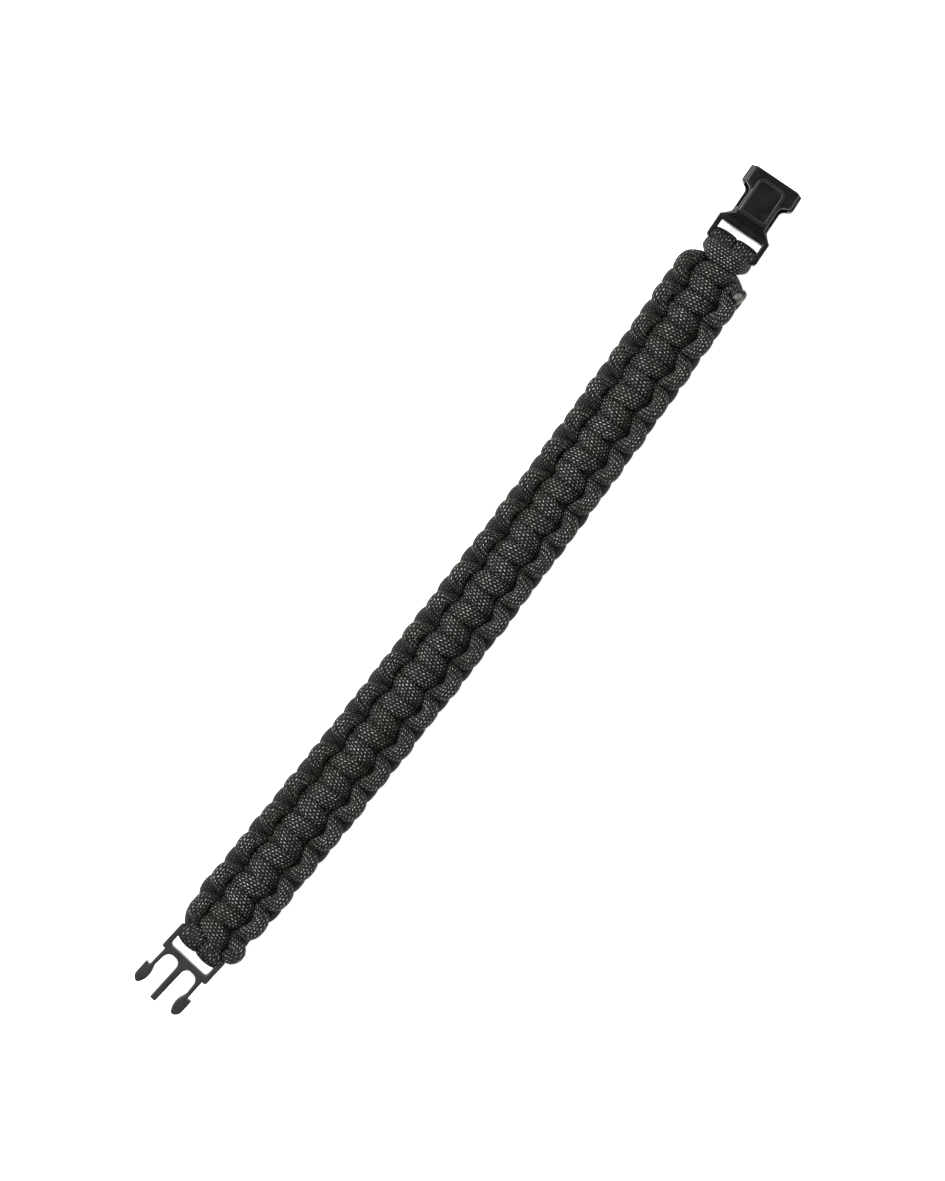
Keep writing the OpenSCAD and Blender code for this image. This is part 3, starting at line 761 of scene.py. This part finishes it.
def socketShell(name, inset, top):
    # rounded rectangles carried along X; half width and half thickness follow the outline and
    # the side view, the nose by the slot and the mouth are drawn in by a quarter round
    b = buckle
    start, ear = b["slotFar"] - b["lip"], bodyFar - b["earLong"]
    shoulder = b["slotFar"] + b["shoulder"]
    frameUp, bodyUp = b["frameThick"] / 2, b["bodyThick"] / 2
    plan = outline([
        (start, 0, 0), (start, frameWide / 2, 0), (shoulder, frameWide / 2, 0.9),
        (shoulder + b["flare"], b["waistWide"] / 2, 1.1), (ear, b["waistWide"] / 2, 1.6),
        (ear + 1.1, b["earWide"] / 2, 1.0), (bodyFar, b["earWide"] / 2 - 0.1, 0.3), (bodyFar, 0, 0)], 10)
    side = outline([
        (start, 0, 0), (start, frameUp, 0), (b["slotFar"] + 0.9, frameUp, 0.8),
        (b["slotFar"] + 3.2, bodyUp, 2.0), (bodyFar, bodyUp, 0), (bodyFar, 0, 0)], 10)
    # without the points on the middle line, and in order along X
    plan, side = (c[np.argsort(c[:, 0], kind="stable")] for c in (plan, side))
    plan, side = plan[plan[:, 1] > 1], side[side[:, 1] > 1]
    turn = 1 - np.cos(np.linspace(0, np.pi / 2, 7))
    x = np.unique(np.concatenate([
        plan[:, 0], side[:, 0], np.linspace(start, bodyFar, 40),
        start + b["nose"] * turn, bodyFar - b["mouthRound"] * turn]).round(3))

    def drawnIn(distance, edge):
        # edge * (1 - sqrt(1 - (1 - distance / edge)^2)), and nothing further in than the edge
        return edge * (1 - np.sqrt(1 - np.clip(1 - distance / edge, 0, 1) ** 2))

    mouth = drawnIn(bodyFar - x, b["mouthRound"])
    wide = np.interp(x, plan[:, 0], plan[:, 1]) - mouth
    wide -= inset * np.clip((x - shoulder) / b["flare"], 0, 1)
    low = np.interp(x, side[:, 0], side[:, 1]) - drawnIn(x - start, b["nose"]) - mouth
    high = np.minimum(low, top - mouth)
    r = np.minimum(0.7, 0.42 * (low + high))  # of the rectangles' corners
    quarter = np.linspace(0, np.pi / 2, 6)
    corners = [(1, high, 1, quarter), (-1, high, 1, np.pi - quarter[::-1]),
               (-1, low, -1, np.pi + quarter), (1, low, -1, 2 * np.pi - quarter[::-1])]
    ring = [np.stack([x, sideways * (wide - r) + r * np.cos(a), upwards * (tall - r) + r * np.sin(a)], 1)
            for sideways, tall, upwards, angles in corners for a in angles]
    return closedTube(name, np.stack(ring, 1))


def boxMesh(name, low, high):
    x, y, z = zip(low, high)
    rows = [(x[0], y[0], 0), (x[1], y[0], 0), (x[1], y[1], 0), (x[0], y[1], 0)]
    return roundedSlab(name, rows, z[0], z[1], 0.05, 1)


def socketHalf(material):
    b = buckle
    half, outer = b["slotWide"] / 2, frameWide / 2
    inside, frameUp, top = half - 1.2, b["frameThick"] / 2, b["bodyThick"] / 2
    legs = []
    for side in (-1, 1):
        rows = [(-b["frameEnd"], side * half, 0.3), (-b["frameEnd"], side * outer, 0.9),
                (b["slotFar"] + 0.8, side * outer, 0.5), (b["slotFar"] + 0.8, side * inside, 0),
                (b["slotFar"] + 0.25, side * inside, 0.3), (b["slotFar"] - 0.05, side * half, 0.5)]
        legs.append(roundedSlab("leg", rows, -frameUp, frameUp, b["edge"]))
    near, far, y = b["slotFar"] + b["panelNear"], bodyFar - b["panelFar"], b["panelWide"] / 2
    rows = [(near, -y, 0.9), (far, -y, 1.5), (far, y, 1.5), (near, y, 0.9)]
    panel = roundedSlab("panel", rows, top - 0.5, top + b["panelUp"], 0.22)
    near, far, y = near + b["rim"], far - b["rim"], y - b["rim"]
    rows = [(near, -y, 0.6), (far, -y, 1.1), (far, y, 1.1), (near, y, 0.6)]
    dish = roundedSlab("dish", rows, top + b["panelUp"] - b["dishDeep"], top + 2, 0.12)
    inner, up = b["earWide"] / 2 - b["wall"], top - b["wall"]
    hollow = boxMesh("hollow", (b["slotFar"] + b["backWall"], -inner, -up), (bodyFar + 1, inner, up))
    guides = []
    for side in (-1, 1):
        y = side * b["guideOut"]
        guides.append(boxMesh("guide", (b["slotFar"] + 4, y - b["guideHalf"], -top + 0.5),
                              (bodyFar - b["earLong"], y + b["guideHalf"], top - 0.5)))
    upper = socketShell("upper", b["ledge"], top)
    lower = socketShell("lower", 0.0, b["ledgeTop"])
    # the guides stand in the hollow, so they are joined after it's cut
    me = fused("socket half", [upper, lower, *legs, panel, slotBar()], [hollow, dish])
    me = fused("socket half", [addObject("shell", me), *guides])
    return buckleHalf("socketHalf", me, band["socketBar"], band["socketTurn"], False, material)


acetal = {
    "grain": 0.35,         # sizes of the mould's grain and of the patches in the gloss
    "patch": 3.0,
    "relief": 0.02,
    "rubbedWide": 0.3,     # an edge's painted highlight reaches this far in
    # the painted highlight's colour along the edges
    "rubbed": "#828285",
    "rub": 0.45,           # the most that the painted highlight's colour covers
    "rounding": 0.14,      # of edges, in the shading alone
    "plug": ("#101011", "#1b1b1b", 0.42, 0.5),    # two colours, roughness, specular level
    "socket": ("#040404", "#080808", 0.3, 0.26),
}


def acetalMaterial(name, dark, light, rough, shine):
    # acetal, injection moulded: a satin gloss with the mould's fine grain, and a painted highlight along the
    # edges
    mat = newMaterial(name)
    tree = mat.node_tree
    place = addNode(tree, "ShaderNodeTexCoord").outputs["Object"]
    grain = addNode(tree, "ShaderNodeTexNoise", Vector=place, Scale=1 / (acetal["grain"] * mm),
                    Detail=3.0, Roughness=0.6).outputs[0]
    patches = addNode(tree, "ShaderNodeTexNoise", Vector=place, Scale=1 / (acetal["patch"] * mm), Detail=2.0)
    tone = remapped(tree, patches.outputs[0], 0.3, 0.7, rough - 0.06, rough + 0.1)
    # painted highlight: edges are painted lighter where the bevel's normal turns away from the face's own
    geometry = addNode(tree, "ShaderNodeNewGeometry")
    around = addNode(tree, "ShaderNodeBevel", {"samples": 6}, Radius=acetal["rubbedWide"] * mm)
    same = addNode(tree, "ShaderNodeVectorMath", {"operation": "DOT_PRODUCT"},
                   i0=around.outputs[0], i1=geometry.outputs["True Normal"])
    rubbed = remapped(tree, same.outputs["Value"], 0.99, 0.8, 0.0, acetal["rub"])
    colour = mixed(tree, rubbed, mixed(tree, grain, dark, light), acetal["rubbed"])
    soft = addNode(tree, "ShaderNodeBevel", {"samples": 6}, Radius=acetal["rounding"] * mm)
    bump = addNode(tree, "ShaderNodeBump", i0=0.35, i1=acetal["relief"] * mm, Height=grain,
                   Normal=soft.outputs[0])
    addSurface(tree, Base_Color=colour, Roughness=tone, Normal=bump.outputs[0],
               IOR=1.42, Specular_IOR_Level=shine)
    return mat


plug = plugHalf(acetalMaterial("moulded acetal, grey black", *acetal["plug"]))
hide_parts("plug_half")
socket = socketHalf(acetalMaterial("moulded acetal, black", *acetal["socket"]))
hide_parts("socket_half")
print("buckle halves", len(plug.data.polygons), len(socket.data.polygons), "faces")


# The melted ends of the cord

bead = {
    "dark": "#0b0b0a",
    "lumpyHighlight": "#6a6a63",
    "highlightFrom": (-0.3, -0.4, 1.7),    # the painted highlight's middle, from the back strand's end
    "highlightReach": (0.2, 1.5),          # full up to the first distance, gone at the second
    "lump": 1.4,
    "relief": 0.3,
    "roughness": 0.42,
    "round": 2.4,                      # exponent of the bead's side view
    "rings": 22,
    "back": (1.2, 1.6, 1.34),          # how far behind and past the cord's end, and how much wider
    "front": (0.6, 1.3, 1.06),
}


def meltedMaterial(highlightAt):
    # nylon melted with a flame: a dark glassy bead with a painted grey highlight in lumpy streaks on its
    # face
    mat = newMaterial("melted nylon")
    tree = mat.node_tree
    place = addNode(tree, "ShaderNodeTexCoord").outputs["Object"]
    lumpyHighlight = addNode(tree, "ShaderNodeTexNoise", Vector=place, Scale=1 / (bead["lump"] * mm),
                    Detail=3.0, Distortion=0.8).outputs[0]
    away = addNode(tree, "ShaderNodeVectorMath", {"operation": "DISTANCE"}, i0=place, i1=tuple(highlightAt * mm))
    full, gone = bead["highlightReach"]
    patch = remapped(tree, away.outputs["Value"], full * mm, gone * mm, 1.0, 0.0)
    # painted highlight: grey streaks from the lumps' noise, full near its middle, gone further out
    highlightShare = addNode(tree, "ShaderNodeMath", {"operation": "MULTIPLY"}, i0=patch, i1=lumpyHighlight)
    colour = mixed(tree, highlightShare.outputs[0], bead["dark"], bead["lumpyHighlight"])
    bump = addNode(tree, "ShaderNodeBump", i0=0.7, i1=bead["relief"] * mm, Height=lumpyHighlight)
    addSurface(tree, Base_Color=colour, Roughness=bead["roughness"], Normal=bump.outputs[0], IOR=1.45)
    return mat


def meltedEnd(name, at, way, shape, node, material):
    # a lumpy bead over the cord's end: rings of its end section, as large as
    # swell * (1 - |2 t - 1|^n)^(1 / n), from a little behind the end to past it
    behind, past, swell = shape
    ring = pressed(np.array([at]))[0]
    centre = ring.mean(0)
    ahead = sections(np.array([at]))[3][0] * way
    t = np.linspace(0.002, 0.998, bead["rings"])
    size = swell * (1 - np.abs(2 * t - 1) ** bead["round"]) ** (1 / bead["round"])
    t = t[:, None]
    a = (np.arange(len(ring)) * 2 * np.pi / len(ring))[None]
    lump = 1 + 0.07 * np.sin(2 * a + 5 * t) + 0.04 * np.sin(5 * a - 7 * t + 1)
    rings = (centre + (ring - centre)[None] * (size[:, None] * lump)[:, :, None]
             + ahead * ((behind + past) * t - behind)[:, :, None])
    k, n = rings.shape[:2]
    verts = settled(np.vstack([rings.reshape(-1, 3), rings[0].mean(0), rings[-1].mean(0)]))
    faces = ringFaces(k, n).tolist() + np.vstack(endFans(k, n)).tolist()
    piece = outward(addPiece(name, verts, faces, material))
    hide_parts(node)


backTip = settled(sections(np.array([0.0]))[0])[0]
melted = meltedMaterial(backTip + np.array(bead["highlightFrom"]))
meltedEnd("backStrandEnd", 0.0, -1, bead["back"], "back_strand_tip", melted)
meltedEnd("frontStrandEnd", fineAlong[-1], 1, bead["front"], "front_strand_tip", melted)
print("melted ends")


# Camera, light and floor

view = {
    "photoScale": 0.2464,             # millimetres to a pixel
    "originPixel": (474.2, 596.9),    # where the origin shows in the photograph's 945 x 1181 pixels
    "imageSize": (945, 1181),
    "bandAngle": 52.74,               # the band's line above the horizontal
    "distance": 700.0,
    "heightOfPlane": 4.9,             # the plane that has the photograph's scale
    "sensor": 24.0,
    "key": ((0.1, 1.0, 1.22), 0.9, 42),    # place and size in metres, watts
    "fill": ((0.4, -0.9, 1.1), 1.5, 5),
    "sky": 0.46,
    "floorHalf": 2.0,                 # metres
    "floorGlow": 0.66,
}


def addCamera():
    data = bpy.data.cameras.new("camera")
    data.sensor_fit = "VERTICAL"
    data.sensor_height = view["sensor"]
    scale, (wide, tall) = view["photoScale"], view["imageSize"]
    data.lens = view["sensor"] * view["distance"] / (tall * scale)
    data.clip_end = 10
    cam = addObject("camera", data)
    turn = math.radians(-view["bandAngle"])
    c, s = math.cos(turn), math.sin(turn)
    # from the origin to the picture's middle, first along the picture's sides, then turned
    x = (wide / 2 - view["originPixel"][0]) * scale
    y = -(tall / 2 - view["originPixel"][1]) * scale
    up = view["distance"] + view["heightOfPlane"]
    cam.location = ((x * c - y * s) * mm, (x * s + y * c) * mm, up * mm)
    cam.rotation_euler = (0, 0, turn)
    bpy.context.scene.camera = cam


def addAreaLight(name, place, size, watts):
    # it looks at the origin
    data = bpy.data.lights.new(name, "AREA")
    data.shape = "DISK"
    data.size = size
    data.energy = watts
    lamp = addObject(name, data)
    lamp.location = place
    lamp.rotation_euler = (-lamp.location).to_track_quat("-Z", "Y").to_euler()


def addFloor():
    # white card that glows a little, so it shows as pure white
    mat = newMaterial("white card")
    addSurface(mat.node_tree, Base_Color=linear("#f6f6f6"), Roughness=0.9,
               Emission_Color=(1, 1, 1, 1), Emission_Strength=view["floorGlow"])
    r = view["floorHalf"]
    floor = looseMesh("floor", np.array([(-r, -r, 0), (r, -r, 0), (r, r, 0), (-r, r, 0)]), [(0, 1, 2, 3)])
    floor.data.materials.append(mat)


addCamera()
addFloor()
addAreaLight("key", *view["key"])
addAreaLight("fill", *view["fill"])
world = bpy.data.worlds.new("studio")
world.use_nodes = True
sky = world.node_tree.nodes["Background"]
sky.inputs["Color"].default_value = (1, 1, 1, 1)
sky.inputs["Strength"].default_value = view["sky"]
bpy.context.scene.world = world
bpy.context.scene.view_settings.view_transform = "Standard"
print("camera, floor and lights set")
